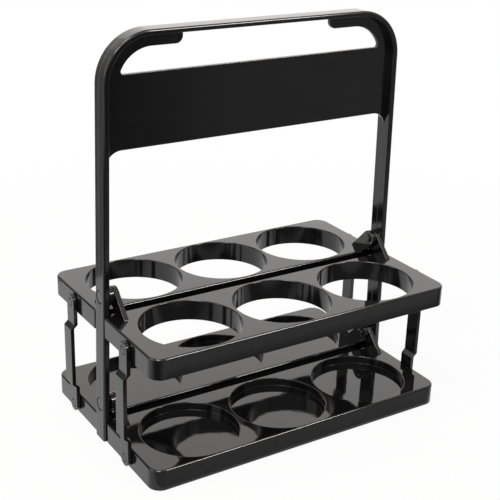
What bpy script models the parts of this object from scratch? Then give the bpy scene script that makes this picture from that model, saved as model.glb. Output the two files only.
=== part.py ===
"""Folding carrier for six bottles: a handle frame, four trays that fold up against it, links and pins.

Metres, +Z up. X runs along the carrier, Y across it, and the posts stand in the plane Y = 0.
The origin is on the floor, midway between the posts. Each tray hangs on pins through the posts,
and a link at each end ties the upper tray of a side to the lower one, so that the two fold together.
The rear trays are the front mouldings turned half a turn about Z.
"""

import math

import bmesh
import bpy
from mathutils import Matrix

# Bottle holes and cups
BOTTLE_BORE = 0.0920
BOTTLE_SPACING = 0.0042
BOTTLES_IN_A_ROW = 3
COLLAR_WALL = 0.0026

# Trays
TRAY_END_MARGIN = 0.0158
TRAY_SIDE_MARGIN = 0.0031
TRAY_GAP = 0.0114
TRAY_CORNER_RADIUS = 0.0120
TRAY_NOTCH_CORNER_RADIUS = 0.0022
TRAY_NOTCH_ROOT_RADIUS = 0.0010
TRAY_EDGE_FILLET = 0.0018
UPPER_TRAY_DEPTH = 0.0195
LOWER_TRAY_DEPTH = 0.0200
DECK_THICKNESS = 0.0022
SKIRT_WALL = 0.0020
CUP_DEPTH = 0.0080
CUP_FLOOR = 0.0020

# Heights
TIER_SPACING = 0.1070
PIVOT_ABOVE_DECK = 0.0156
HANDLE_HEIGHT = 0.3755

# Handle frame
BAND_WIDTH = 0.0180
POST_THICKNESS = 0.0059
BAR_THICKNESS = 0.0047
BAND_EDGE_ROUND = 0.0008
FOOT_BEYOND_TRAY = 0.0024
LEAN_OVER_HEIGHT = 0.0076
HANDLE_CORNER_RADIUS = 0.0448
WEB_THICKNESS = 0.0040
CORNER_WEB_DEPTH = 0.0103
CORNER_WEB_SIDE = 0.0107
CORNER_WEB_RADIUS = 0.0320
CORNER_WEB_REACH = 0.0291
WEB_NOSE_RADIUS = 0.0065
PANEL_BELOW_TOP = 0.0364
PANEL_HEIGHT = 0.0647
PANEL_FILLET = 0.0150
PANEL_TOP_FILLET = 0.0025
PIVOT_BOSS_RADIUS = 0.0080
PIVOT_BOSS_RISE = 0.0004

# Pivot arms that stand on the trays
ARM_THICKNESS = 0.0046
ARM_HUB_RADIUS = 0.0080
ARM_FOOT_REACH = 0.0270
ARM_INNER_REACH = 0.0072
ARM_SINK = 0.0012

# Pins through the posts
POST_PIN_RADIUS = 0.0030
POST_PIN_HEAD_RADIUS = 0.0059
POST_PIN_HEAD_THICKNESS = 0.0013
POST_PIN_HEAD_ROUND = 0.0005
POST_PIN_TAIL_RADIUS = 0.0042
POST_PIN_TAIL_LENGTH = 0.0018
POST_PIN_TAIL_TAPER = 0.0009
POST_RECESS_DEPTH = 0.0020

# Links
LINK_WIDTH = 0.0154
LINK_THICKNESS = 0.0037
LINK_BOW = 0.0037
LINK_UPPER_STRAIGHT = 0.0214
LINK_LOWER_STRAIGHT = 0.0200
LINK_JOG_HEIGHT = 0.0035
LINK_EDGE_ROUND = 0.0004
LINK_PIN_BELOW_DECK = 0.0102

# Pins through the link ends
LINK_PIN_RADIUS = 0.0024
LINK_PIN_HEAD_RADIUS = 0.0036
LINK_PIN_HEAD_THICKNESS = 0.0012
LINK_PIN_HEAD_ROUND = 0.0004
LINK_PIN_TAIL_RADIUS = 0.0034
LINK_PIN_TAIL_LENGTH = 0.0014
LINK_RECESS_DEPTH = 0.0014
LINK_PIN_BOSS_DEPTH = 0.0030
LINK_PIN_BOSS_OVERLAP = 0.0005

# Clearances and cutting overrun
SEAT_GAP = 0.0003
STOP_GAP = 0.0004
HUB_GAP = 0.0004
LINK_SIDE_GAP = 0.0005
RECESS_GAP = 0.0004
OVERRUN = 0.0020
WELD_DISTANCE = 0.00001

# Counts of straight steps
BORE_STEPS = 48
CORNER_STEPS = 6
HANDLE_CORNER_STEPS = 10
SMALL_ARC_STEPS = 4
HUB_STEPS = 16
PIN_STEPS = 12
EDGE_STEPS = 2
SMOOTH_ANGLE = math.radians(35)
BEVEL_ANGLE = math.radians(60)
FLAT_ANGLE = math.radians(0.5)

# Sizes that follow from those above
BOTTLE_PITCH = BOTTLE_BORE + BOTTLE_SPACING
TRAY_END = BOTTLE_PITCH * (BOTTLES_IN_A_ROW - 1) / 2 + BOTTLE_BORE / 2 + TRAY_END_MARGIN
TRAY_INNER = TRAY_GAP / 2
TRAY_MIDDLE = TRAY_INNER + TRAY_SIDE_MARGIN + BOTTLE_BORE / 2
TRAY_OUTER = TRAY_MIDDLE + BOTTLE_BORE / 2 + TRAY_SIDE_MARGIN
LOWER_PIVOT_Z = LOWER_TRAY_DEPTH + PIVOT_ABOVE_DECK
UPPER_PIVOT_Z = LOWER_PIVOT_Z + TIER_SPACING
FOOT_HALF_SPAN = TRAY_END + FOOT_BEYOND_TRAY
POST_LEAN = LEAN_OVER_HEIGHT / HANDLE_HEIGHT
PANEL_TOP = HANDLE_HEIGHT - PANEL_BELOW_TOP
PANEL_BOTTOM = PANEL_TOP - PANEL_HEIGHT
NOTCH_Y = BAND_WIDTH / 2 + STOP_GAP

PART = "folding_bottle_carrier"
PLASTIC_COLOUR = (0.012, 0.012, 0.013, 1.0)
PLASTIC_ROUGHNESS = 0.10


def post_x(height, inset=0.0):
    """X of the right post's outer face at a height, or of a face set in from it by a thickness."""
    return FOOT_HALF_SPAN - POST_LEAN * height - inset * math.hypot(1, POST_LEAN)


BOSS_FACE_X = post_x(UPPER_PIVOT_Z, POST_THICKNESS) - PIVOT_BOSS_RISE
OUTER_ARM_X = BOSS_FACE_X - HUB_GAP
INNER_ARM_X = OUTER_ARM_X - ARM_THICKNESS - HUB_GAP
NOTCH_X = BOSS_FACE_X


def start_empty():
    """Removes what the scene holds, and makes one collection for the parts and one for the cutters."""
    for item in list(bpy.data.objects):
        bpy.data.objects.remove(item, do_unlink=True)
    made = []
    for name in (PART, "cutters"):
        collection = bpy.data.collections.new(name)
        bpy.context.scene.collection.children.link(collection)
        made.append(collection)
    return made


PARTS, CUTTERS = start_empty()


def plastic(name):
    """A glossy black moulded plastic, one for each sub-part."""
    material = bpy.data.materials.new(name + "_plastic")
    material.use_nodes = True
    shader = material.node_tree.nodes["Principled BSDF"]
    shader.inputs["Base Color"].default_value = PLASTIC_COLOUR
    shader.inputs["Roughness"].default_value = PLASTIC_ROUGHNESS
    shader.inputs["Metallic"].default_value = 0.0
    return material


def as_cutter(item):
    """Marks a shape that only cuts or joins another one."""
    for collection in item.users_collection:
        collection.objects.unlink(item)
    CUTTERS.objects.link(item)
    item.hide_render = True
    item.display_type = "WIRE"
    return item


def as_part(item):
    """Gives a finished shape its material and its smooth shading, and puts it among the parts."""
    for collection in item.users_collection:
        collection.objects.unlink(item)
    PARTS.objects.link(item)
    item.data.materials.clear()
    item.data.materials.append(plastic(item.name))
    item.data.shade_smooth()
    item.data.set_sharp_from_angle(angle=SMOOTH_ANGLE)
    return item


def rounded_outline(corners, steps=SMALL_ARC_STEPS):
    """Points of a closed outline from corners (x, y, radius), each rounded by an arc of its radius."""
    points = []
    for index, (x, y, radius) in enumerate(corners):
        if not radius:
            points.append((x, y))
            continue
        before, after = corners[index - 1], corners[(index + 1) % len(corners)]
        in_angle = math.atan2(before[1] - y, before[0] - x)
        out_angle = math.atan2(after[1] - y, after[0] - x)
        turn = (out_angle - in_angle + math.pi) % (2 * math.pi) - math.pi
        reach = radius / math.sin(abs(turn) / 2)
        middle = in_angle + turn / 2
        centre_x, centre_y = x + reach * math.cos(middle), y + reach * math.sin(middle)
        sweep = math.copysign(math.pi - abs(turn), turn)
        for step in range(steps + 1):
            angle = middle + math.pi + sweep * (0.5 - step / steps)
            points.append((centre_x + radius * math.cos(angle), centre_y + radius * math.sin(angle)))
    return points


def slab(name, outline, low, high, turn=None):
    """A flat outline in the XY plane made solid from low to high along Z, and then turned."""
    curve = bpy.data.curves.new(name, "CURVE")
    curve.dimensions = "2D"
    curve.fill_mode = "BOTH"
    curve.extrude = (high - low) / 2
    spline = curve.splines.new("POLY")
    spline.points.add(len(outline) - 1)
    for point, (x, y) in zip(spline.points, outline):
        point.co = (x, y, 0, 1)
    spline.use_cyclic_u = True
    flat = bpy.data.objects.new(name + "_outline", curve)
    bpy.context.scene.collection.objects.link(flat)
    flat_view = flat.evaluated_get(bpy.context.evaluated_depsgraph_get())
    mesh = bpy.data.meshes.new_from_object(flat_view)
    bpy.data.objects.remove(flat)
    work = bmesh.new()
    work.from_mesh(mesh)
    bmesh.ops.remove_doubles(work, verts=work.verts, dist=WELD_DISTANCE)
    bmesh.ops.dissolve_limit(work, angle_limit=FLAT_ANGLE, verts=work.verts, edges=work.edges)
    bmesh.ops.translate(work, verts=work.verts, vec=(0, 0, (low + high) / 2))
    bmesh.ops.transform(work, matrix=turn or Matrix.Identity(4), verts=work.verts)
    bmesh.ops.recalc_face_normals(work, faces=work.faces)
    work.to_mesh(mesh)
    work.free()
    item = bpy.data.objects.new(name, mesh)
    CUTTERS.objects.link(item)
    return item


FACING_FRONT = Matrix.Rotation(math.radians(90), 4, "X")
FACING_END = Matrix.Rotation(math.radians(90), 4, "Z") @ Matrix.Rotation(math.radians(90), 4, "X")
ALONG_X = Matrix.Rotation(math.radians(90), 4, "Y")


def rod(name, radius, low, high, place, turn=None, steps=BORE_STEPS):
    """A cylinder from low to high along Z through a place, after which Z is turned onto another axis."""
    work = bmesh.new()
    bmesh.ops.create_cone(
        work, cap_ends=True, segments=steps, radius1=radius, radius2=radius, depth=high - low
    )
    bmesh.ops.translate(work, verts=work.verts, vec=(0, 0, (low + high) / 2))
    bmesh.ops.transform(work, matrix=turn or Matrix.Identity(4), verts=work.verts)
    bmesh.ops.translate(work, verts=work.verts, vec=place)
    mesh = bpy.data.meshes.new(name)
    work.to_mesh(mesh)
    work.free()
    item = bpy.data.objects.new(name, mesh)
    CUTTERS.objects.link(item)
    return item


def combine(item, others, operation):
    """Joins other shapes to one, or cuts them from it, each with a Boolean modifier."""
    for other in others:
        as_cutter(other)
        modifier = item.modifiers.new(operation.lower() + "_" + other.name, "BOOLEAN")
        modifier.operation = operation
        modifier.solver = "EXACT"
        modifier.object = other
    return item


def settle(item):
    """Applies a shape's modifiers, so that its copies can share the mesh."""
    view = item.evaluated_get(bpy.context.evaluated_depsgraph_get())
    mesh = bpy.data.meshes.new_from_object(view)
    mesh.name = item.name
    work = bmesh.new()
    work.from_mesh(mesh)
    bmesh.ops.remove_doubles(work, verts=work.verts, dist=WELD_DISTANCE)
    work.to_mesh(mesh)
    work.free()
    item.modifiers.clear()
    item.data = mesh
    return item


def round_edges(item, chosen, width, steps):
    """Rounds the edges that a test picks."""
    work = bmesh.new()
    work.from_mesh(item.data)
    edges = [edge for edge in work.edges if chosen(edge)]
    bmesh.ops.bevel(
        work, geom=edges, offset=width, segments=steps, profile=0.5, affect="EDGES", clamp_overlap=True
    )
    work.to_mesh(item.data)
    work.free()
    return item


def is_sharp(edge):
    """Whether two faces meet at more than the bevel angle."""
    return len(edge.link_faces) == 2 and edge.calc_face_angle() > BEVEL_ANGLE


def axis_point(name, place, carrier=None, half_turn=False):
    """An empty on a hinge axis, which carries the pieces that turn about it."""
    empty = bpy.data.objects.new(name, None)
    PARTS.objects.link(empty)
    empty.parent = carrier
    empty.location = place
    empty.rotation_euler = (0, 0, math.pi if half_turn else 0)
    return empty


def copy_on(mesh, name, carrier, place=(0, 0, 0), half_turn=False):
    """A named part that shares a mesh and sits on its carrier, turned half a turn where it is mirrored."""
    item = bpy.data.objects.new(name, mesh.copy())
    PARTS.objects.link(item)
    item.parent = carrier
    item.location = place
    item.rotation_euler = (0, 0, math.pi if half_turn else 0)
    return as_part(item)


# Trays, in a frame with its origin on the pivot axis and the tray on the -Y side

def tray_corners(inset):
    """Corners (x, y, radius) of a tray seen from above, drawn in by an inset, notched for the posts."""
    end, outer, inner = TRAY_END - inset, -(TRAY_OUTER - inset), -(TRAY_INNER + inset)
    notch_x, notch_y = NOTCH_X - inset, -(NOTCH_Y + inset)
    corner = TRAY_CORNER_RADIUS - inset
    small = max(TRAY_NOTCH_CORNER_RADIUS - inset, TRAY_NOTCH_CORNER_RADIUS / 8)
    root = TRAY_NOTCH_ROOT_RADIUS + inset
    right = [(end, outer, corner), (end, notch_y, small), (notch_x, notch_y, root), (notch_x, inner, small)]
    left = [(-x, y, radius) for x, y, radius in reversed(right)]
    return right + left


def bottle_places():
    """Centres of the bottle holes along X."""
    first = -BOTTLE_PITCH * (BOTTLES_IN_A_ROW - 1) / 2
    return [first + BOTTLE_PITCH * number for number in range(BOTTLES_IN_A_ROW)]


def arm(name, side, arm_x, deck):
    """A pivot arm: a plate from a foot on the deck to a round hub about the pivot."""
    low_z = deck - ARM_SINK
    foot, inner = (-ARM_FOOT_REACH - ARM_SINK, low_z), (-ARM_INNER_REACH, low_z)
    angles = []
    for (y, z), sign in ((foot, -1), (inner, 1)):
        distance = math.hypot(y, z)
        towards_point = math.atan2(z, y)
        angles.append(towards_point + sign * math.acos(ARM_HUB_RADIUS / distance))
    start, end = angles
    sweep = (end - start) % (2 * math.pi) - 2 * math.pi
    hub = []
    for step in range(HUB_STEPS + 1):
        angle = start + sweep * step / HUB_STEPS
        hub.append((ARM_HUB_RADIUS * math.cos(angle), ARM_HUB_RADIUS * math.sin(angle)))
    low, high = sorted((side * arm_x, side * (arm_x - ARM_THICKNESS)))
    return slab(name, [foot] + hub + [inner], low, high, FACING_END)


def tray(name, depth, cup_depth):
    """A tray with its deck, skirt, collars, link pin bosses and arms. A cup depth closes its bores with floors."""
    deck = -PIVOT_ABOVE_DECK
    bottom = deck - depth
    body = slab(name, rounded_outline(tray_corners(0), CORNER_STEPS), bottom, deck)
    round_edges(
        body,
        lambda edge: is_sharp(edge) and all(vert.co.z > deck - WELD_DISTANCE for vert in edge.verts),
        TRAY_EDGE_FILLET,
        EDGE_STEPS,
    )
    hollow = slab(
        name + "_hollow",
        rounded_outline(tray_corners(SKIRT_WALL), CORNER_STEPS),
        bottom - OVERRUN,
        deck - DECK_THICKNESS,
    )
    bore_radius = BOTTLE_BORE / 2
    pin_z = deck - LINK_PIN_BELOW_DECK
    boss_radius = LINK_PIN_BELOW_DECK - DECK_THICKNESS + LINK_PIN_BOSS_OVERLAP
    kept, cuts = [], []
    for number, x in enumerate(bottle_places()):
        place = (x, -TRAY_MIDDLE, 0)
        tag = name + "_bore_" + str(number)
        collar_top = deck - DECK_THICKNESS + OVERRUN
        kept.append(rod(tag + "_collar", bore_radius + COLLAR_WALL, bottom - 2 * OVERRUN, collar_top, place))
        bore_low = deck - cup_depth if cup_depth else bottom - OVERRUN
        cuts.append(rod(tag, bore_radius, bore_low, deck + OVERRUN, place))
        if cup_depth:
            cuts.append(rod(tag + "_under", bore_radius, bottom - OVERRUN, bore_low - CUP_FLOOR, place))
    for side in (-1, 1):
        tag = name + ("_left" if side < 0 else "_right")
        wall_x = side * (TRAY_END - SKIRT_WALL)
        place = (wall_x, -TRAY_MIDDLE, pin_z)
        reach = sorted((side * OVERRUN, -side * LINK_PIN_BOSS_DEPTH))
        kept.append(rod(tag + "_boss", boss_radius, reach[0], reach[1], place, ALONG_X, HUB_STEPS))
        hole = sorted((side * (SKIRT_WALL + OVERRUN), -side * (LINK_PIN_BOSS_DEPTH + OVERRUN)))
        hole_radius = LINK_PIN_RADIUS + SEAT_GAP
        cuts.append(rod(tag + "_pin_hole", hole_radius, hole[0], hole[1], place, ALONG_X, PIN_STEPS))
    combine(hollow, kept, "DIFFERENCE")
    settle(hollow)
    arms = [arm(name + "_left_arm", -1, INNER_ARM_X, deck), arm(name + "_right_arm", 1, OUTER_ARM_X, deck)]
    hub_hole = rod(
        name + "_hub_hole",
        POST_PIN_RADIUS + SEAT_GAP,
        -(OUTER_ARM_X + OVERRUN),
        OUTER_ARM_X + OVERRUN,
        (0, 0, 0),
        ALONG_X,
        PIN_STEPS,
    )
    combine(body, arms, "UNION")
    combine(body, [hollow] + cuts + [hub_hole], "DIFFERENCE")
    settle(body)
    return as_cutter(body)


# Handle frame

def band_outline():
    """The inverted U of the band, seen from the front: its outer line and back along its inner one."""
    top, inner_top = HANDLE_HEIGHT, HANDLE_HEIGHT - BAR_THICKNESS
    outer = [
        (post_x(0), 0, 0),
        (post_x(top), top, HANDLE_CORNER_RADIUS),
        (-post_x(top), top, HANDLE_CORNER_RADIUS),
        (-post_x(0), 0, 0),
    ]
    inner_radius = HANDLE_CORNER_RADIUS - (POST_THICKNESS + BAR_THICKNESS) / 2
    inner_x = post_x(inner_top, POST_THICKNESS)
    inner = [
        (-post_x(0, POST_THICKNESS), 0, 0),
        (-inner_x, inner_top, inner_radius),
        (inner_x, inner_top, inner_radius),
        (post_x(0, POST_THICKNESS), 0, 0),
    ]
    return rounded_outline(outer + inner, HANDLE_CORNER_STEPS)


def web_outline():
    """Panel and corner webs, seen from the front, run out to the middle of the band on all sides."""
    middle = POST_THICKNESS / 2
    top = HANDLE_HEIGHT - middle
    web_low = HANDLE_HEIGHT - BAR_THICKNESS - CORNER_WEB_DEPTH
    centre_z = web_low - CORNER_WEB_RADIUS
    centre_x = post_x(centre_z, POST_THICKNESS) - CORNER_WEB_SIDE - CORNER_WEB_RADIUS
    nose_x = centre_x - CORNER_WEB_REACH
    foot_z = PANEL_TOP + PANEL_TOP_FILLET
    foot_reach = CORNER_WEB_RADIUS - PANEL_TOP_FILLET
    join = math.asin((foot_z - centre_z) / foot_reach)
    foot_x = centre_x + foot_reach * math.cos(join)
    opening = []
    for step in range(SMALL_ARC_STEPS + 1):
        angle = (join + math.pi / 2) * step / SMALL_ARC_STEPS - math.pi / 2
        opening.append(
            (foot_x + PANEL_TOP_FILLET * math.cos(angle), foot_z + PANEL_TOP_FILLET * math.sin(angle))
        )
    for step in range(1, HANDLE_CORNER_STEPS + 1):
        angle = join + (math.pi / 2 - join) * step / HANDLE_CORNER_STEPS
        opening.append(
            (centre_x + CORNER_WEB_RADIUS * math.cos(angle), centre_z + CORNER_WEB_RADIUS * math.sin(angle))
        )
    fillet_end = PANEL_BOTTOM - PANEL_FILLET - middle
    right = rounded_outline(
        [
            (0, PANEL_BOTTOM, 0),
            (post_x(PANEL_BOTTOM, POST_THICKNESS) + WELD_DISTANCE, PANEL_BOTTOM, PANEL_FILLET),
            (post_x(fillet_end, POST_THICKNESS) + WELD_DISTANCE, fillet_end, 0),
            (post_x(fillet_end, middle), fillet_end, 0),
            (post_x(top, middle), top, HANDLE_CORNER_RADIUS - middle),
            (nose_x, top, 0),
            (nose_x, web_low, WEB_NOSE_RADIUS),
            (centre_x, web_low, 0),
        ],
        HANDLE_CORNER_STEPS,
    )
    right = right[1:-1] + list(reversed(opening))
    left = [(-x, z) for x, z in reversed(right)]
    return right + left


def handle_frame():
    """The band, its web and panel, the pivot bosses, and the pin holes with their recesses."""
    half = BAND_WIDTH / 2
    frame = slab("handle_frame", band_outline(), -half, half, FACING_FRONT)
    round_edges(frame, is_sharp, BAND_EDGE_ROUND, EDGE_STEPS)
    web = slab("web", web_outline(), -WEB_THICKNESS / 2, WEB_THICKNESS / 2, FACING_FRONT)
    joined, cuts = [web], []
    for side in (-1, 1):
        for level, height in (("upper", UPPER_PIVOT_Z), ("lower", LOWER_PIVOT_Z)):
            tag = ("left_" if side < 0 else "right_") + level
            place = (0, 0, height)
            sunk = post_x(height, POST_THICKNESS / 2)
            low, high = sorted((side * BOSS_FACE_X, side * sunk))
            joined.append(rod(tag + "_boss", PIVOT_BOSS_RADIUS, low, high, place, ALONG_X, HUB_STEPS))
            low, high = sorted((side * (BOSS_FACE_X - OVERRUN), side * (post_x(height) + OVERRUN)))
            hole_radius = POST_PIN_RADIUS + SEAT_GAP
            cuts.append(rod(tag + "_hole", hole_radius, low, high, place, ALONG_X, PIN_STEPS))
            floor_x = post_x(height) - POST_RECESS_DEPTH
            low, high = sorted((side * floor_x, side * (post_x(height) + OVERRUN)))
            recess_radius = POST_PIN_HEAD_RADIUS + RECESS_GAP
            cuts.append(rod(tag + "_recess", recess_radius, low, high, place, ALONG_X, HUB_STEPS))
    combine(frame, joined, "UNION")
    combine(frame, cuts, "DIFFERENCE")
    settle(frame)
    return as_part(frame)


# Links and pins

def link():
    """A link with its origin on its upper pin axis, at the tray's end, bowed towards -X."""
    radius = LINK_WIDTH / 2
    near, far = -LINK_SIDE_GAP, -LINK_SIDE_GAP - LINK_THICKNESS
    jog_top, jog_bottom = -LINK_UPPER_STRAIGHT, -TIER_SPACING + LINK_LOWER_STRAIGHT
    side_view = [
        (near, radius, 0),
        (far, radius, 0),
        (far, jog_top, 0),
        (far - LINK_BOW, jog_top - LINK_JOG_HEIGHT, 0),
        (far - LINK_BOW, jog_bottom + LINK_JOG_HEIGHT, 0),
        (far, jog_bottom, 0),
        (far, -TIER_SPACING - radius, 0),
        (near, -TIER_SPACING - radius, 0),
        (near, jog_bottom, 0),
        (near - LINK_BOW, jog_bottom + LINK_JOG_HEIGHT, 0),
        (near - LINK_BOW, jog_top - LINK_JOG_HEIGHT, 0),
        (near, jog_top, 0),
    ]
    bar = slab("link", rounded_outline(side_view), -radius, radius, FACING_FRONT)
    face_view = [
        (-radius, radius, radius),
        (-radius, -TIER_SPACING - radius, radius),
        (radius, -TIER_SPACING - radius, radius),
        (radius, radius, radius),
    ]
    low, high = far - LINK_BOW - OVERRUN, near + OVERRUN
    face = slab("link_face", rounded_outline(face_view, CORNER_STEPS), low, high, FACING_END)
    combine(bar, [face], "INTERSECT")
    settle(bar)
    round_edges(bar, is_sharp, LINK_EDGE_ROUND, 1)
    cuts = []
    for number, height in enumerate((0, -TIER_SPACING)):
        place = (0, 0, height)
        hole_radius = LINK_PIN_RADIUS + SEAT_GAP
        tag = "link_hole_" + str(number)
        cuts.append(rod(tag, hole_radius, far - OVERRUN, near + OVERRUN, place, ALONG_X, PIN_STEPS))
        recess_radius = LINK_PIN_HEAD_RADIUS + RECESS_GAP
        low, high = far - OVERRUN, far + LINK_RECESS_DEPTH
        cuts.append(rod(tag + "_recess", recess_radius, low, high, place, ALONG_X, HUB_STEPS))
    combine(bar, cuts, "DIFFERENCE")
    settle(bar)
    return as_cutter(bar)


def turned_pin(name, profile, steps):
    """A pin turned about X from a profile (x, radius) that runs from its head end to its tail end."""
    mesh = bpy.data.meshes.new(name)
    work = bmesh.new()
    verts = [work.verts.new((radius, 0, -x)) for x, radius in profile]
    for first, second in zip(verts, verts[1:]):
        work.edges.new((first, second))
    work.to_mesh(mesh)
    work.free()
    item = bpy.data.objects.new(name, mesh)
    CUTTERS.objects.link(item)
    screw = item.modifiers.new("turn", "SCREW")
    screw.axis = "Z"
    screw.steps = steps
    screw.render_steps = steps
    screw.use_merge_vertices = True
    screw.merge_threshold = WELD_DISTANCE
    settle(item)
    item.data.transform(Matrix.Rotation(math.radians(-90), 4, "Y"))
    return as_cutter(item)


def post_pin(name, post_outer):
    """A pin from the recess in a post's outer face through both arms, with a snap end, towards +X."""
    head = -(post_outer - POST_RECESS_DEPTH + SEAT_GAP + POST_PIN_HEAD_THICKNESS)
    under_head = head + POST_PIN_HEAD_THICKNESS
    tail = -(INNER_ARM_X - ARM_THICKNESS - SEAT_GAP)
    tail_end = tail + POST_PIN_TAIL_LENGTH
    profile = [
        (head, 0),
        (head, POST_PIN_HEAD_RADIUS - POST_PIN_HEAD_ROUND),
        (head + POST_PIN_HEAD_ROUND, POST_PIN_HEAD_RADIUS),
        (under_head, POST_PIN_HEAD_RADIUS),
        (under_head, POST_PIN_RADIUS),
        (tail, POST_PIN_RADIUS),
        (tail, POST_PIN_TAIL_RADIUS),
        (tail_end - POST_PIN_TAIL_TAPER, POST_PIN_TAIL_RADIUS),
        (tail_end, POST_PIN_TAIL_RADIUS - POST_PIN_TAIL_TAPER),
        (tail_end, 0),
    ]
    return turned_pin(name, profile, HUB_STEPS)


def link_pin():
    """A pin from a link's recess through the tray's end wall and boss, with its origin on that wall."""
    head = -(LINK_SIDE_GAP + LINK_THICKNESS - LINK_RECESS_DEPTH + SEAT_GAP + LINK_PIN_HEAD_THICKNESS)
    under_head = head + LINK_PIN_HEAD_THICKNESS
    tail = SKIRT_WALL + LINK_PIN_BOSS_DEPTH + SEAT_GAP
    tail_end = tail + LINK_PIN_TAIL_LENGTH
    profile = [
        (head, 0),
        (head, LINK_PIN_HEAD_RADIUS - LINK_PIN_HEAD_ROUND),
        (head + LINK_PIN_HEAD_ROUND, LINK_PIN_HEAD_RADIUS),
        (under_head, LINK_PIN_HEAD_RADIUS),
        (under_head, LINK_PIN_RADIUS),
        (tail, LINK_PIN_RADIUS),
        (tail, LINK_PIN_TAIL_RADIUS),
        (tail_end, LINK_PIN_TAIL_RADIUS - LINK_PIN_HEAD_ROUND),
        (tail_end, 0),
    ]
    return turned_pin("link_pin", profile, PIN_STEPS)


def assemble():
    """Places every part on the axis that carries it."""
    frame = handle_frame()
    upper = tray("upper_tray", UPPER_TRAY_DEPTH, 0)
    lower = tray("lower_tray", LOWER_TRAY_DEPTH, CUP_DEPTH)
    bar, small_pin = link(), link_pin()
    pin_height = -PIVOT_ABOVE_DECK - LINK_PIN_BELOW_DECK
    for half, half_turn in (("front", False), ("rear", True)):
        for level, shape, height in (("upper", upper, UPPER_PIVOT_Z), ("lower", lower, LOWER_PIVOT_Z)):
            axis = axis_point(half + "_" + level + "_axis", (0, 0, height), None, half_turn)
            copy_on(shape.data, half + "_" + level + "_tray", axis)
            for side in (-1, 1):
                world_side = -side if half_turn else side
                name = ("left" if world_side < 0 else "right") + "_" + half
                place = (side * TRAY_END, -TRAY_MIDDLE, pin_height)
                copy_on(small_pin.data, name + "_" + level + "_link_pin", axis, place, side > 0)
                if level == "upper":
                    link_axis = axis_point(name + "_link_axis", place, axis, side > 0)
                    copy_on(bar.data, name + "_link", link_axis)
    for level, height in (("upper", UPPER_PIVOT_Z), ("lower", LOWER_PIVOT_Z)):
        shape = post_pin(level + "_post_pin", post_x(height))
        for name, half_turn in (("left", False), ("right", True)):
            copy_on(shape.data, name + "_" + level + "_post_pin", frame, (0, 0, height), half_turn)


assemble()
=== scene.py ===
"""Looks of a folding carrier for six bottles, built round its packed CAD frame.

Metres, +Z up, in the CAD's own frame: X along the carrier, Y across it, the posts in the plane Y = 0.
Every piece is a set of grids worked out with numpy, with the normal of the true surface at each corner,
because glossy plastic shows any facet. Each piece rides on the CAD body whose nodes it stands for.
"""

import math

import bpy
import numpy as np
from bpy.props import FloatProperty, FloatVectorProperty, PointerProperty
from mathutils import Matrix, Vector
from mathutils.geometry import delaunay_2d_cdt


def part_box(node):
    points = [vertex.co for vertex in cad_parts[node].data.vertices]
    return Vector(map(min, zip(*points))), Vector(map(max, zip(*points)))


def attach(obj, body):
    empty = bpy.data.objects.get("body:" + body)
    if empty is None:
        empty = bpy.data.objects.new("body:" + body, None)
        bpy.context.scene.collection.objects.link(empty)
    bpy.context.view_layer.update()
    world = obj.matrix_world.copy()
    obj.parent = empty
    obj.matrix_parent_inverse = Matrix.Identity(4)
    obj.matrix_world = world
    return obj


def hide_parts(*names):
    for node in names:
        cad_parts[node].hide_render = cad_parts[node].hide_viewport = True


bl_info = {
    "name": "Folding bottle carrier",
    "version": (1, 0, 0),
    "blender": (4, 5, 0),
    "location": "View3D > Sidebar > Carrier",
    "description": "Glossy moulded pieces and a studio for a folding carrier for six bottles",
    "category": "Add Mesh",
}

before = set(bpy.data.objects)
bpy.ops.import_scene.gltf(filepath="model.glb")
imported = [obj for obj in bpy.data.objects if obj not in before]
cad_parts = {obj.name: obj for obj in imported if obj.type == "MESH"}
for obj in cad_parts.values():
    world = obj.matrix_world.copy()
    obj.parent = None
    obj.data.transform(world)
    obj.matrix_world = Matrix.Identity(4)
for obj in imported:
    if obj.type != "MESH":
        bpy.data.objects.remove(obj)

# The rows, with whether their trays are turned half a turn, the sides along X, and the bottles in a row
ROWS = {"front": False, "rear": True}
SIDES = {"left": -1, "right": 1}
BOTTLES = 3
DOWN = (0, 0, -1)

# Meshes, in metres: what counts as nothing, the grid that points are welded on, how far a chord may leave its
# arc, and the largest share of a small arc's radius that this may be
TINY, WELD_GRID = 1e-9, 1e-6
ARC_TOLERANCE, ARC_LIMIT = 1e-5, 0.2

# The longest steps along straight stretches: whole ones, the trays' outline, the band, the ends of arms and
# links, the links' sections, and the long sides of links and webs
UNDIVIDED, OUTLINE_STEP, BAND_STEP = 1.0, 0.0024, 0.0027
FINE_STEP, EDGE_STEP, LONG_STEP = 0.0020, 0.0018, 0.0040

# Numbers of steps: a tray's dividing lines, the handle opening's arcs, bosses and post pins, and link pins
DIVIDER_STEPS, OPENING_STEPS, FILLET_STEPS, LATHE_STEPS, PIN_STEPS = 40, 20, 8, 48, 40

# The front edge of a tray's notch; half the height of the flat patch round a pivot, and the band's corners
# where the patches begin; how far the panel runs into the posts, and how round its hidden corners are
NOTCH_Y = 0.0094
PIVOT_PATCH, PATCH_CORNERS = 0.0081, (1, 3, 7, 9)
PANEL_SUNK, HIDDEN_ROUND = 0.0003, 1.5

# The plastic's noises: scale per metre, detail and distortion. Then the limits between which the masks of the
# haze and the specks rise, what they change, and the tones between which the colour clouds
RIPPLE, GRAIN, HAZE, SPECKS, CLOUDS = (55.0, 1.0), (1400.0, 2.0), (22.0, 4.0, 0.6), (620.0, 3.0), (9.0, 3.0)
HAZE_LIMITS, HAZE_SHIFT = (0.62, 0.86), 0.3
SPECK_LIMITS, SPECK_ROUGHNESS = (0.66, 0.74), 0.03
CLOUD_SHARE, DARK_TONE, PALE_TONE, PALE_DUST = 0.7, 0.8, 1.35, 0.0006

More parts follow.
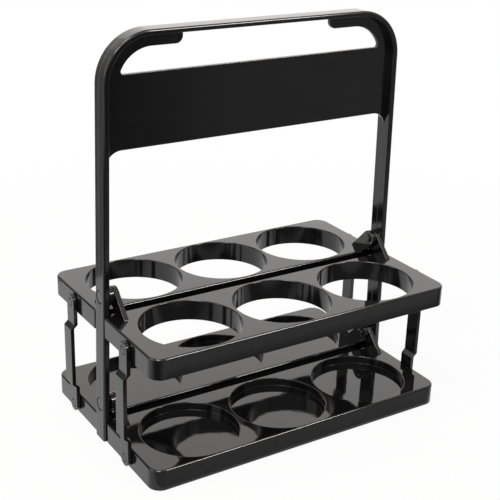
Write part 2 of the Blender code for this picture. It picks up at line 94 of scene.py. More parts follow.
# How level a face is between wall and deck, and the distances over which parting line and gate mark fade
LEVEL_LIMITS, SEAM_LIMITS, GATE_LIMITS = (0.35, 0.8), (0.00012, 0.00045), (0.0004, 0.0009)

# The share of each moulding that handling has dulled, and the roughness of the stage
DULLED = {
    "upper_tray": 0.15, "lower_tray": 0.25, "handle": 0.2, "link": 0.3, "post_pin": 0.5, "link_pin": 0.5
}
MATT = 0.9


def length(name, description, default):
    """A size that a user may change."""
    return FloatProperty(
        name=name, description=description, default=default, min=0.0, precision=4, unit="LENGTH"
    )


def share(name, description, default, high=1.0):
    """A number between nothing and a highest value."""
    return FloatProperty(name=name, description=description, default=default, min=0.0, max=high, precision=3)


def colour(name, description, default):
    """A colour that a user may change."""
    return FloatVectorProperty(
        name=name, description=description, default=default, min=0.0, max=1.0, subtype="COLOR"
    )


class TraySizes(bpy.types.PropertyGroup):
    """Sizes of the four trays"""

    bore: length("Bottle hole", "Diameter of a bottle hole or cup", 0.0920)
    spacing: length("Hole spacing", "Plastic between two neighbouring holes", 0.0042)
    end_margin: length("End margin", "Deck beyond the last hole", 0.0158)
    side_margin: length("Side margin", "Deck beside the holes", 0.0031)
    gap: length("Tray gap", "Distance between the front and the rear tray", 0.0114)
    corner: length("Outer corner", "Radius of the outer corners seen from above", 0.0120)
    notch_corner: length("Notch corner", "Radius of the corners at the notch for the post", 0.0022)
    notch_root: length("Notch root", "Radius in the root of the notch", 0.0010)
    edge: length("Edge round", "Radius between deck and skirt", 0.0018)
    rim: length("Rim round", "Radius round the mouth of a hole", 0.0009)
    foot_edge: length("Foot round", "Radius along the skirt's lower edge", 0.0004)
    cup_depth: length("Cup depth", "Depth of a cup below the deck", 0.0080)
    cup_fillet: length("Cup fillet", "Radius between a cup's wall and floor", 0.0003)
    upper_depth: length("Upper depth", "Depth of an upper tray", 0.0195)
    lower_depth: length("Lower depth", "Depth of a lower tray", 0.0200)
    deck: length("Deck thickness", "Thickness of the deck", 0.0022)
    wall: length("Skirt wall", "Thickness of the skirt", 0.0020)
    collar: length("Collar wall", "Thickness of the collar round a hole", 0.0026)
    cup_floor: length("Cup floor", "Thickness of a cup's floor", 0.0020)
    pivot_rise: length("Pivot rise", "Height of the pivot above the deck", 0.0156)
    tiers: length("Tier spacing", "Height between the two tiers", 0.1070)
    arm: length("Arm thickness", "Thickness of a pivot arm", 0.0046)
    arm_foot: length("Arm foot", "Reach of an arm's foot from the pivot", 0.0270)
    arm_inner: length("Arm inner end", "Distance of the foot's inner end from the pivot", 0.0072)
    hub: length("Arm hub", "Radius of the hub", 0.0080)
    arm_edge: length("Arm edge round", "Radius along an arm's edges", 0.0005)


class HandleSizes(bpy.types.PropertyGroup):
    """Sizes of the handle frame"""

    height: length("Height", "Height of the handle above the floor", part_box("handle_frame")[1].z)
    width: length("Band width", "Width of the band", 0.0180)
    thickness: length("Post thickness", "Thickness of the band in the posts", 0.0059)
    bar: length("Bar thickness", "Thickness of the band in the bar", 0.0047)
    edge: length("Band edge round", "Radius along the band's outer edges", 0.0020)
    inner_edge: length("Inner edge round", "Radius along the band's inner edges", 0.0009)
    beyond: length("Foot offset", "Distance of a post's foot beyond the trays", 0.0024)
    lean: length("Lean", "How far a post leans in over its height", 0.0076)
    corner: length("Corner radius", "Radius of the handle's upper corners", 0.0448)
    web: length("Web thickness", "Thickness of the panel and the corner webs", 0.0040)
    web_edge: length("Web edge round", "Radius along the panel's edges", 0.0005)
    web_depth: length("Corner web depth", "Depth of a corner web below the band", 0.0103)
    web_side: length("Corner web side", "Width of a corner web beside the band", 0.0107)
    web_radius: length("Corner web radius", "Radius of a corner web's inner line", 0.0320)
    web_reach: length("Corner web reach", "Length of a corner web beyond its arc", 0.0291)
    nose: length("Web nose", "Radius at a corner web's end", 0.0065)
    panel_drop: length("Panel drop", "Distance of the panel below the handle's top", 0.0364)
    panel_height: length("Panel height", "Height of the panel", 0.0647)
    panel_fillet: length("Panel fillet", "Radius under the panel's ends", 0.0150)
    panel_top_fillet: length("Opening fillet", "Radius in the opening's lower corners", 0.0025)
    boss: length("Pivot boss", "Radius of the boss round a pivot", 0.0080)
    boss_rise: length("Boss rise", "Height of that boss", 0.0004)
    recess: length("Recess", "Radius of the recess for a pin's head", 0.0063)
    recess_depth: length("Recess depth", "Depth of that recess", 0.0020)
    recess_edge: length("Recess edge", "Radius round the recess's mouth", 0.0003)


class LinkSizes(bpy.types.PropertyGroup):
    """Sizes of the links and of the pins"""

    width: length("Width", "Width of a link", 0.0154)
    thickness: length("Thickness", "Thickness of a link", 0.0037)
    bow: length("Bow", "How far a link stands out between its ends", 0.0037)
    upper_straight: length("Upper end", "Straight length below the upper pin", 0.0214)
    lower_straight: length("Lower end", "Straight length above the lower pin", 0.0200)
    jog: length("Jog height", "Height of the slope to the bowed part", 0.0035)
    edge: length("Edge round", "Radius along a link's edges", 0.0005)
    jog_round: length("Jog round", "Radius where the slopes begin and end", 0.0003)
    pin_drop: length("Pin drop", "Distance of the link pins below the deck", 0.0102)
    side_gap: length("Side gap", "Clearance between a link and the tray", 0.0005)
    recess: length("Recess", "Radius of the recess for a pin's head", 0.0040)
    recess_depth: length("Recess depth", "Depth of that recess", 0.0014)
    pin: length("Link pin", "Radius of a link pin", 0.0024)
    pin_head: length("Link pin head", "Radius of its head", 0.0036)
    pin_head_depth: length("Link pin head depth", "Thickness of its head", 0.0012)
    pin_tail: length("Link pin tail", "Radius of its snap end", 0.0034)
    pin_tail_length: length("Link pin tail length", "Length of its snap end", 0.0014)
    pin_boss: length("Link pin boss", "Depth of the boss inside the skirt", 0.0030)
    post_pin: length("Post pin", "Radius of a pin through a post", 0.0030)
    post_head: length("Post pin head", "Radius of its head", 0.0059)
    post_head_depth: length("Post pin head depth", "Thickness of its head", 0.0013)
    post_tail: length("Post pin tail", "Radius of its snap end", 0.0042)
    post_tail_length: length("Post pin tail length", "Length of its snap end", 0.0018)
    seat: length("Seat gap", "Clearance under a pin's head and round its shank", 0.0003)
    hub_gap: length("Hub gap", "Clearance between arms and post", 0.0004)
    round: length("Pin round", "Radius on a pin's edges", 0.0005)


class PlasticFinish(bpy.types.PropertyGroup):
    """Look of the moulded plastic"""

    base: colour("Plastic", "Colour of the plastic", (0.0055, 0.0055, 0.0060))
    gloss: share("Roughness", "Roughness of a polished face", 0.035)
    walls: share("Wall roughness", "Roughness of the upright faces, which slid out of the mould", 0.10)
    handled: share("Handled roughness", "Roughness where hands and bottles have dulled it", 0.09)
    index: share("Index of refraction", "How strongly the plastic mirrors", 1.50, 3.0)
    ripple: length("Ripple", "Depth of the mould's slow ripple", 0.00006)
    grain: length("Grain", "Depth of the fine grain", 0.0000025)
    seam: length("Seam", "Height of the parting line along the band", 0.00008)
    gate: FloatVectorProperty(
        name="Gate",
        description="Place of the small mark that the mould's gate left on the bar",
        default=(0.0, 0.0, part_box("handle_frame")[1].z),
        subtype="TRANSLATION",
        unit="LENGTH",
    )
    gate_depth: length("Gate depth", "Depth of that mark", 0.0004)


class StudioSettings(bpy.types.PropertyGroup):
    """Floor, cards and lamps"""

    floor: colour("Floor", "Colour of the floor", (0.86, 0.86, 0.86))
    warmth: colour("Warmth", "Colour that the surroundings have in reflections", (1.0, 0.955, 0.925))
    veil: share("White floor", "How much of its own white the floor shows beside its shadows", 0.92)
    ambient: share("Ambient", "Strength of the all-round light", 0.62, 5.0)
    back: share("Back light", "Strength of the softbox behind the carrier", 6.0, 500.0)
    top: share("Top light", "Strength of the softbox above the carrier", 9.0, 500.0)
    edge: share("Edge light", "Strength of the softbox on the right in front, for the edges", 24.0, 500.0)
    corner: share("Corner light", "Strength of the small softbox above the camera's left", 12.0, 500.0)
    side: share("Side light", "Strength of the softbox on the left", 6.0, 500.0)
    dark_card: share("Dark card", "Shade of the dark card in front", 0.06)
    front_card: share("Front card", "Shade of the greyer card before its right half", 0.27)
    side_card: share("Side card", "Shade of the grey card on the left", 0.30)
    # This grey mat is painted shadow: it stands for the carrier's shadow on the floor in front, as only the
    # plastic's reflections see it
    front_mat: share("Front mat", "Shade of the grey mat in front", 0.45)
    # This dark strip is painted shadow: the darker floor right in front of the carrier, as only the
    # reflections see it
    near_mat: share("Near mat", "Shade of the dark strip on the front mat", 0.04)
    far_mat: share("Far mat", "Shade of the mat beyond the front mat", 0.20)
    camera_mat: share("Camera mat", "Shade of the dark mat under the camera", 0.02)


# Paths


def heading_vector(angle):
    """Unit vectors along headings."""
    return np.stack([np.cos(angle), np.sin(angle)], -1)


def outward(angle):
    """Unit vectors to the right of headings, which point out of what an anticlockwise path encloses."""
    return np.stack([np.sin(angle), -np.cos(angle)], -1)


def arc_steps(turn, radius):
    """Steps for an arc, so that its chords stay within the tolerance of it."""
    step = 2 * math.acos(1 - min(ARC_TOLERANCE / radius, ARC_LIMIT))
    return max(2, math.ceil(abs(turn) / step))


def corner_arc(corner, radius, before, after):
    """Points and headings round one corner: its centre plus the radius times an evenly turned normal."""
    turn = (after - before + math.pi) % (2 * math.pi) - math.pi
    if abs(turn) < TINY:
        return corner[None], np.array([before])
    if radius < TINY:
        return np.stack([corner, corner]), np.array([before, after])
    angles = before + turn * np.linspace(0, 1, arc_steps(turn, radius) + 1)
    start = corner - heading_vector(before) * radius * math.tan(abs(turn) / 2)
    signed = math.copysign(radius, turn)
    centre = start - outward(before) * signed
    return centre + outward(angles) * signed, angles


def corner_runs(corners, closed):
    """A run (points, headings) for each corner (x, y, radius). The ends of an open path are single points."""
    table = np.array(corners, float)
    places, radii = table[:, :2], table[:, 2]
    sides = np.roll(places, -1, 0) - places
    headings = np.arctan2(sides[:, 1], sides[:, 0])
    last = len(table) - 1
    runs = []
    for number, (place, radius) in enumerate(zip(places, radii)):
        if not closed and number in (0, last):
            runs.append((place[None], headings[[min(number, last - 1)]]))
        else:
            runs.append(corner_arc(place, radius, headings[number - 1], headings[number]))
    return runs


def joined(runs, closed, spacing):
    """Points and outward normals of runs (points, headings), and the index at which each run starts.

    The straight stretches between the runs are divided evenly.
    """
    points, normals, firsts = [], [], []
    for number, (run, angles) in enumerate(runs):
        firsts.append(sum(map(len, points)))
        points.append(run)
        normals.append(outward(angles))
        if closed or number + 1 < len(runs):
            gap = runs[(number + 1) % len(runs)][0][0] - run[-1]
            parts = math.ceil(np.hypot(*gap) / spacing - TINY)
            if parts > 1:
                points.append(run[-1] + gap * (np.arange(1, parts) / parts)[:, None])
                normals.append(np.repeat(outward(angles[-1:]), parts - 1, 0))
    return np.concatenate(points), np.concatenate(normals), firsts


def rounded_path(corners, closed=True, spacing=UNDIVIDED):
    """Straight sides joined by arcs, through corners (x, y, radius), anticlockwise round the material."""
    return joined(corner_runs(corners, closed), closed, spacing)


def profile_of(corners, spacing=UNDIVIDED):
    """The points and the normals of an open rounded path."""
    return rounded_path(corners, False, spacing)[:2]


def plate_edge(low, high, edge, spacing=UNDIVIDED):
    """The profile of a plate's edge between two heights, with its two corners rounded."""
    return profile_of([(-edge, low, 0), (0, low, edge), (0, high, edge), (-edge, high, 0)], spacing)


# Meshes


class Shell:
    """Grids and flat faces gathered into one mesh. Each face corner has the normal of its own surface."""

    def __init__(self):
        self.points, self.normals, self.quads = [], [], []

    def _store(self, points, normals):
        """Keeps points with their normals, one for all or one each, and gives the first's number."""
        first = sum(map(len, self.points))
        self.points.append(points.reshape(-1, 3))
        self.normals.append(np.broadcast_to(normals, points.shape).reshape(-1, 3))
        return first

    def grid(self, points, normals, keep=True, closed=False):
        """Adds the quads of a grid (rows, columns, 3) where keep is true. A closed one joins its two ends."""
        normals = np.broadcast_to(normals, points.shape)
        if closed:
            points, normals = (np.concatenate([item, item[:, :1]], 1) for item in (points, normals))
        rows, columns = points.shape[:2]
        index = self._store(points, normals) + np.arange(rows * columns).reshape(rows, columns)
        quads = np.stack([index[:-1, :-1], index[:-1, 1:], index[1:, 1:], index[1:, :-1]], -1)
        self.quads.append(quads[np.broadcast_to(keep, quads.shape[:2])])

    def flat(self, loop, normal):
        """Fills a flat outline with Delaunay triangles."""
        first = self._store(loop, normal)
        plane = [Vector(point) for point in np.delete(loop, np.argmax(np.abs(normal)), 1)]
        _, _, faces, sources, _, _ = delaunay_2d_cdt(plane, [], [list(range(len(loop)))], 1, WELD_GRID)
        triangles = np.array([source[0] for source in sources])[np.array(faces)]
        self.quads.append(np.concatenate([triangles, triangles[:, 2:]], 1) + first)

    def build(self, name, matrix=None):
        """Welds the points, turns every face to its normals, and makes the mesh, placed by a matrix."""
        points, normals = np.concatenate(self.points), np.concatenate(self.normals)
        if matrix is not None:
            turn = np.array(matrix.to_3x3())
            points, normals = points @ turn.T + np.array(matrix.translation), normals @ turn.T
        normals = normals / np.linalg.norm(normals, axis=1, keepdims=True)
        cells = np.round(points / WELD_GRID).astype(np.int64)
        _, chosen, welded = np.unique(cells, axis=0, return_index=True, return_inverse=True)
        welded = welded.reshape(-1)
        quads = np.concatenate(self.quads)
        corners = points[quads]
        facing = np.cross(corners[:, 2] - corners[:, 0], corners[:, 3] - corners[:, 1])
        wrong = (facing * normals[quads].sum(1)).sum(1) < 0
        quads[wrong] = quads[wrong][:, ::-1]
        merged = welded[quads]
        same = merged == np.roll(merged, -1, 1)
        crossed = (merged[:, 0] == merged[:, 2]) | (merged[:, 1] == merged[:, 3])
        whole = ~same.any(1) & ~crossed
        pinched = (same.sum(1) == 1) & ~crossed
        order = (np.argmax(same[pinched], 1)[:, None] + np.array([1, 2, 3])) % 4
        triangles = np.take_along_axis(quads[pinched], order, 1)
        loops = np.concatenate([quads[whole].ravel(), triangles.ravel()])
        mesh = bpy.data.meshes.new(name)
        mesh.from_pydata(points[chosen], [], welded[quads[whole]].tolist() + welded[triangles].tolist())
        mesh.polygons.foreach_set("use_smooth", np.ones(len(mesh.polygons), bool))
        mesh.normals_split_custom_set(normals[loops])
        mesh.update()
        return mesh


def seen_from_above(plane, height):
    """Plane (x, y) and height z."""
    return np.concatenate([plane, height], -1)


def seen_from_front(plane, depth):
    """Plane (x, z) and depth y."""
    return np.concatenate([plane[..., :1], depth, plane[..., 1:]], -1)


def seen_from_end(plane, along):
    """Plane (y, z) and position x."""
    return np.concatenate([along, plane], -1)


def swept(shell, path, profile, lift, keep=True, lean=None, closed=True):
    """Carries a profile along a path, and gives its points in the path's plane.

    path is (points, outward normals) in a plane, and profile is (offset and height, normals). A point is the
    path's point plus its normal times the offset. lift puts plane coordinates and a height into space, and so
    does lean for the normals, where it differs.
    """
    places, sideways = path
    offsets, leans = profile
    plane = places[None] + sideways[None] * offsets[:, None, :1]
    tilt = sideways[None] * leans[:, None, :1]
    height, rise = (np.broadcast_to(item[:, None, 1:], plane.shape[:2] + (1,)) for item in (offsets, leans))
    shell.grid(lift(plane, height), (lean or lift)(tilt, rise), keep, closed)
    return plane


def ribbon(shell, loops, heights, normals, lift, keep=True):
    """Straight quads between two closed loops, which lie at one height or at a height each."""
    plane = np.stack(loops)
    heights = np.broadcast_to(np.reshape(heights, (-1, 1, 1)), plane.shape[:2] + (1,))
    shell.grid(lift(plane, heights), normals, keep, closed=True)


def ring(shell, outer, radius, centre, height, facing, lift):
    """A flat face between an outline and a circle about a centre, along the rays to the outline."""
    rays = outer - centre
    spokes = rays / np.linalg.norm(rays, axis=-1, keepdims=True)
    normal = lift(np.zeros(2), np.array([facing]))
    ribbon(shell, (outer, centre + spokes * radius), height, normal, lift)
    return spokes


def lathe(shell, corners, steps=LATHE_STEPS, centre=(0.0, 0.0)):
    """Turns a profile (radius, x, rounding) about an axis along X: radius times (cos, sin), and x."""
    spokes = heading_vector(np.arange(steps) * 2 * math.pi / steps)
    swept(shell, (np.array(centre), spokes), profile_of(corners), seen_from_end)


# Trays


def tray_end(sizes):
    """X of the trays' right end, past the last hole and its margin."""
    return (sizes.bore + sizes.spacing) * (BOTTLES - 1) / 2 + sizes.bore / 2 + sizes.end_margin


class TrayPlan:
    """Numbers that follow from the tray's sizes, and the outline that all its surfaces share."""

    def __init__(self, sizes, notch_x):
        self.radius = sizes.bore / 2
        self.pitch = sizes.bore + sizes.spacing
        self.end = tray_end(sizes)
        self.inner = sizes.gap / 2
        self.middle = self.inner + sizes.side_margin + self.radius
        self.outer = self.middle + self.radius + sizes.side_margin
        self.cut = self.pitch / 2
        self.deck = -sizes.pivot_rise
        right = [
            (self.cut, -self.outer, 0),
            (self.end, -self.outer, sizes.corner),
            (self.end, -NOTCH_Y, sizes.notch_corner),
            (notch_x, -NOTCH_Y, sizes.notch_root),
            (notch_x, -self.inner, sizes.notch_corner),
            (self.cut, -self.inner, 0),
        ]
        left = [(-x, y, radius) for x, y, radius in reversed(right)]
        self.outline, self.normals, firsts = rounded_path(right + left, spacing=OUTLINE_STEP)
        self.breaks = [firsts[number] for number in (0, len(right) - 1, len(right), -1)]

    def cells(self):
        """For each hole: its centre, and the outline's indices and the dividing lines round it, in order."""
        start, back_right, back_left, front_left = self.breaks
        front, back = -self.outer, -self.inner
        right = [np.arange(start, back_right + 1), (self.cut, back, front)]
        middle = [
            np.arange(back_right, back_left + 1),
            (-self.cut, back, front),
            np.append(np.arange(front_left, len(self.outline)), 0),
            (self.cut, front, back),
        ]
        left = [np.arange(back_left, front_left + 1), (-self.cut, front, back)]
        return [
            (np.array([column * self.pitch, -self.middle]), pieces)
            for column, pieces in ((1, right), (0, middle), (-1, left))
        ]

    def ring_at(self, pieces, inset):
        """The points round one hole: the outline, drawn in by an inset, and the dividing lines."""
        points = []
        for piece in pieces:
            if isinstance(piece, tuple):
                x, start, stop = piece
                margin = math.copysign(OUTLINE_STEP, stop - start)
                y = np.linspace(start + margin, stop - margin, DIVIDER_STEPS)
                points.append(np.stack([np.full(DIVIDER_STEPS, x), y], -1))
            else:
                points.append(self.outline[piece] - self.normals[piece] * inset)
        return np.concatenate(points)


def tray_skirt(shell, plan, sizes, bottom, merged):
    """The skirt: a rounded wall section carried round the outline, with no inner wall where a collar is."""
    deck, wall, edge = plan.deck, sizes.wall, sizes.edge
    section = [(-wall, deck - sizes.deck, 0), (-wall, bottom, 0), (0, bottom, sizes.foot_edge)]
    section += [(0, deck, edge), (-edge, deck, 0)]
    offsets, leans, firsts = rounded_path(section, closed=False)
    keep = np.ones((len(offsets) - 1, len(plan.outline)), bool)
    keep[: firsts[1]] = ~merged
    swept(shell, (plan.outline, plan.normals), (offsets, leans), seen_from_above, keep)


def tray_cell(shell, plan, sizes, bottom, is_cup, centre, pieces):
    """Deck, bore, collar and underside round one hole, all on the same rays from the hole's axis."""
    radius, rim, collar = plan.radius, plan.radius + sizes.rim, plan.radius + sizes.collar
    spokes = ring(shell, plan.ring_at(pieces, sizes.edge), rim, centre, plan.deck, 1, seen_from_above)
    mouth = [(rim, plan.deck, 0), (radius, plan.deck, sizes.rim)]
    foot_reach = radius + 2 * sizes.foot_edge
    foot = [(radius, bottom, sizes.foot_edge), (foot_reach, bottom, 0)]
    walls = [mouth + foot]
    if is_cup:
        floor_top = plan.deck - sizes.cup_depth
        floor_low = floor_top - sizes.cup_floor
        walls = [
            mouth + [(radius, floor_top, sizes.cup_fillet), (0, floor_top, 0)],
            [(0, floor_low, 0), (radius, floor_low, sizes.cup_fillet)] + foot,
        ]
    for wall in walls:
        swept(shell, (centre, spokes), profile_of(wall), seen_from_above)
    under, under_ring = plan.deck - sizes.deck, plan.ring_at(pieces, sizes.wall)
    reach = np.linalg.norm(under_ring - centre, axis=1)
    under_spokes = (under_ring - centre) / reach[:, None]
    edge = centre + under_spokes * np.minimum(reach, collar)[:, None]
    full = reach <= collar
    open_steps = ~(full & np.roll(full, -1))
    outwards = seen_from_above(under_spokes, np.zeros((len(reach), 1)))
    ribbon(shell, (centre + spokes * foot_reach, edge), bottom, DOWN, seen_from_above)
    ribbon(shell, (edge, edge), (bottom, under), outwards, seen_from_above, open_steps)
    ribbon(shell, (edge, under_ring), under, DOWN, seen_from_above, open_steps)


def tray_arm(shell, plan, sizes, links, low, high):
    """A pivot arm: a plate round the hub, between two tangents down to its foot in the deck."""
    base, edge = plan.deck - sizes.deck / 2, sizes.arm_edge
    foot, inner = np.array([-sizes.arm_foot, base]), np.array([-sizes.arm_inner, base])
    start, end = (
        math.atan2(point[1], point[0]) + sign * math.acos(sizes.hub / np.hypot(*point))
        for point, sign in ((inner, 1), (foot, -1))
    )
    end = end % (2 * math.pi)
    around = np.linspace(start, end, arc_steps(end - start, sizes.hub) + 1)
    runs = [
        (sizes.hub * heading_vector(around), around + math.pi / 2),
        corner_arc(foot, 2 * edge, end + math.pi / 2, 2 * math.pi),
        corner_arc(inner, 2 * edge, 0, start + math.pi / 2),
    ]
    outline, normals, _ = joined(runs, True, FINE_STEP)
    swept(shell, (outline, normals), plate_edge(low, high, edge), seen_from_end)
    bore, axis = links.post_pin + links.seat, np.zeros(2)
    for along, facing in ((low, -1), (high, 1)):
        spokes = ring(shell, outline - normals * edge, bore, axis, along, facing, seen_from_end)
    tube = np.array([[bore, high], [bore, low]])
    swept(shell, (axis, spokes), (tube, np.array([[-1.0, 0.0]] * 2)), seen_from_end)


def tray_shell(plan, sizes, links, line, is_cup):
    """A whole tray moulding, in a frame with its origin on the pivot and the tray on the -Y side."""
    bottom = plan.deck - (sizes.lower_depth if is_cup else sizes.upper_depth)
    shell = Shell()
    nearest = np.clip(np.round(plan.outline[:, 0] / plan.pitch), -1, 1) * plan.pitch
    centres = np.stack([nearest, np.full(len(nearest), -plan.middle)], -1)
    inner_line = plan.outline - plan.normals * sizes.wall
    filled = np.linalg.norm(inner_line - centres, axis=1) <= plan.radius + sizes.collar
    tray_skirt(shell, plan, sizes, bottom, filled & np.roll(filled, -1))
    for centre, pieces in plan.cells():
        tray_cell(shell, plan, sizes, bottom, is_cup, centre, pieces)
    inner_face = line.arm_face - sizes.arm - links.hub_gap
    tray_arm(shell, plan, sizes, links, -inner_face, -inner_face + sizes.arm)
    tray_arm(shell, plan, sizes, links, line.arm_face - sizes.arm, line.arm_face)
    boss = links.pin_drop - sizes.deck + links.seat
    for side in SIDES.values():
        faces = (plan.end - sizes.wall / 2, plan.end - sizes.wall - links.pin_boss)
        low, high = sorted(side * face for face in faces)
        corners = [(0, low, 0), (boss, low, links.seat), (boss, high, links.seat), (0, high, 0)]
        lathe(shell, corners, centre=(-plan.middle, plan.deck - links.pin_drop))
    return shell


# Handle frame


class PostLine:
    """The leaning line of a post's outer face, the pivots' heights, and X of the outer arms' outer faces."""

    def __init__(self, trays, handle, links):
        self.foot = tray_end(trays) + handle.beyond
        self.slope = handle.lean / handle.height
        self.lower = trays.lower_depth + trays.pivot_rise
        self.upper = self.lower + trays.tiers
        self.levels = {"upper": self.upper, "lower": self.lower}
        self.arm_face = self.x(self.upper, handle.thickness) - handle.boss_rise - links.hub_gap

    def x(self, height, inset=0.0):
        """X of the outer face at a height, or of a face set in from it."""
        return self.foot - self.slope * height - inset * math.hypot(1, self.slope)


def pivot_patch(shell, handle, links, outer, inner, centre, tilt):
    """The faces round a pivot between two loops of the band, with the recess, the hole and the boss.

    A point is the centre plus a ray's offset, away from the pivot's axis, and a height along that axis. All
    faces run on the rays to the outer loop's points.
    """
    recess, hole, edge = handle.recess, links.post_pin + links.seat, handle.recess_edge
    floor, face = -handle.recess_depth, -handle.thickness
    rise = handle.boss_rise
    offsets, leans = profile_of([
        (recess + 2 * edge, 0, 0),
        (recess, 0, edge),
        (recess, floor, 0),
        (hole, floor, 0),
        (hole, face - rise, 0),
        (handle.boss, face - rise, rise / 2),
        (handle.boss, face, 0),
    ])
    rays = outer - centre
    level = rays - (rays @ tilt)[:, None] * tilt
    spokes = level / np.linalg.norm(level, axis=1, keepdims=True)
    middle = centre + spokes[None] * offsets[:, None, :1] + tilt * offsets[:, None, 1:]
    shell.grid(middle, spokes[None] * leans[:, None, :1] + tilt * leans[:, None, 1:], closed=True)
    shell.grid(np.stack([outer, middle[0]]), tilt, closed=True)
    shell.grid(np.stack([middle[-1], inner]), -tilt, closed=True)


def loop_of(block):
    """The points round the border of a block of a grid, in order."""
    return np.concatenate([block[0, :-1], block[:-1, -1], block[-1, :0:-1], block[:0:-1, 0]])


def band(shell, line, handle, links):
    """The inverted U: a rounded rectangle carried along the outer line, opened round the four pivots.

    A point is the line's point plus its normal times the offset, moved out where the bar is thinner.
    """
    half, top = handle.width / 2, handle.height
    heights = [pivot + reach for pivot in (line.lower, line.upper) for reach in (-PIVOT_PATCH, PIVOT_PATCH)]
    right = [(line.x(z), z, 0) for z in [0] + heights] + [(line.x(top), top, handle.corner)]
    left = [(-x, z, radius) for x, z, radius in reversed(right)]
    path, sideways, firsts = rounded_path(right + left, closed=False, spacing=BAND_STEP)
    section = [(-handle.thickness, -half, handle.inner_edge), (0, -half, handle.edge)]
    section += [(x, -y, edge) for x, y, edge in reversed(section)]
    offsets, leans, _ = rounded_path(section, spacing=BAND_STEP)
    outer_columns = np.flatnonzero(np.abs(offsets[:, 0]) < TINY)
    inner_columns = np.roll(np.flatnonzero(np.abs(offsets[:, 0] + handle.thickness) < TINY), -1)
    upright = np.abs(sideways[:, 0] / sideways[0, 0]) ** 2
    thinner = (handle.thickness - handle.bar) * (1 - upright)
    flat = handle.thickness - handle.edge - handle.inner_edge
    moved = np.clip((-offsets[:, 0] - handle.edge) / flat, 0, 1)
    inset = offsets[None, :, 0] + thinner[:, None] * moved[None]
    plane = path[:, None] + sideways[:, None] * inset[..., None]
    depth, rise = (np.broadcast_to(item[None, :, 1:], plane.shape[:2] + (1,)) for item in (offsets, leans))
    points = seen_from_front(plane, depth)
    keep = np.ones((len(path) - 1, len(offsets)), bool)
    for number in PATCH_CORNERS:
        first, last = firsts[number], firsts[number + 1]
        for columns in (outer_columns, inner_columns):
            keep[first:last, columns[:-1]] = False
        block = points[first:last + 1]
        outer, inner = loop_of(block[:, outer_columns]), loop_of(block[:, inner_columns[::-1]])
        height = (path[first, 1] + path[last, 1]) / 2
        centre = np.array([math.copysign(1, path[first, 0]) * line.x(height), 0.0, height])
        pivot_patch(shell, handle, links, outer, inner, centre, seen_from_front(sideways[first], np.zeros(1)))
    points[[0, -1], :, 2] = 0.0
    shell.grid(points, seen_from_front(sideways[:, None] * leans[None, :, :1], rise), keep, closed=True)
    for end in (0, -1):
        shell.flat(points[end], DOWN)


def web_path(line, handle):
    """The outline of the panel and the corner webs, run into the band on all sides."""
    buried = handle.bar / 2
    sunk = handle.thickness - PANEL_SUNK
    top = handle.height - buried
    panel_top = handle.height - handle.panel_drop
    panel_bottom = panel_top - handle.panel_height
    fillet_end = panel_bottom - handle.panel_fillet - buried
    web_low = handle.height - handle.bar - handle.web_depth
    centre = np.array([0.0, web_low - handle.web_radius])
    centre[0] = line.x(centre[1], handle.thickness) - handle.web_side - handle.web_radius
    reach = handle.web_radius - handle.panel_top_fillet
    join = math.asin((panel_top + handle.panel_top_fillet - centre[1]) / reach)
    foot = centre + reach * heading_vector(np.array(join))
    small = handle.web_edge * HIDDEN_ROUND
    corners = [
        (0, panel_bottom, 0),
        (line.x(panel_bottom, sunk), panel_bottom, handle.panel_fillet),
        (line.x(fillet_end, sunk), fillet_end, small),
        (line.x(fillet_end, buried), fillet_end, small),
        (line.x(top, buried), top, handle.corner - buried),
        (centre[0] - handle.web_reach, top, small),
        (centre[0] - handle.web_reach, web_low, handle.nose),
        (centre[0], web_low, 0),
    ]
    runs = corner_runs(corners, closed=False)[:-1]
    for middle, radius, start, stop, steps in (
        (centre, handle.web_radius, math.pi / 2, join, OPENING_STEPS),
        (foot, handle.panel_top_fillet, join, -math.pi / 2, FILLET_STEPS),
    ):
        angles = start - (start - stop) * np.linspace(0, 1, steps)
        runs.append((middle + radius * heading_vector(angles), angles - math.pi / 2))
    right, normals, _ = joined(runs, False, LONG_STEP)
    return [np.concatenate([half, (half[::-1] * (-1, 1))[:-1]]) for half in (right, normals)]


def web(shell, line, handle):
    """Panel and corner webs: a plate's rounded edge carried along the outline, and two flat faces."""
    points, normals = web_path(line, handle)
    half, edge = handle.web / 2, handle.web_edge
    swept(shell, (points, normals), plate_edge(-half, half, edge), seen_from_front)
    face = points - normals * edge
    for facing in (-1, 1):
        shell.flat(seen_from_front(face, np.full((len(face), 1), facing * half)), (0, facing, 0))


# Links and pins


def jog_line(trays, links):
    """The link's offset along its length: bow, height and slope, with the slopes' corners rounded."""
    top, bottom = -links.upper_straight, -trays.tiers + links.lower_straight
    radius, rounding = links.width / 2, links.jog_round
    points, normals = profile_of([
        (0, -radius, 0),
        (0, top, rounding),
        (-links.bow, top - links.jog, rounding),
        (-links.bow, bottom + links.jog, rounding),
        (0, bottom, rounding),
        (0, -trays.tiers + radius, 0),
    ], LONG_STEP)
    return points, -normals[:, 1] / normals[:, 0]


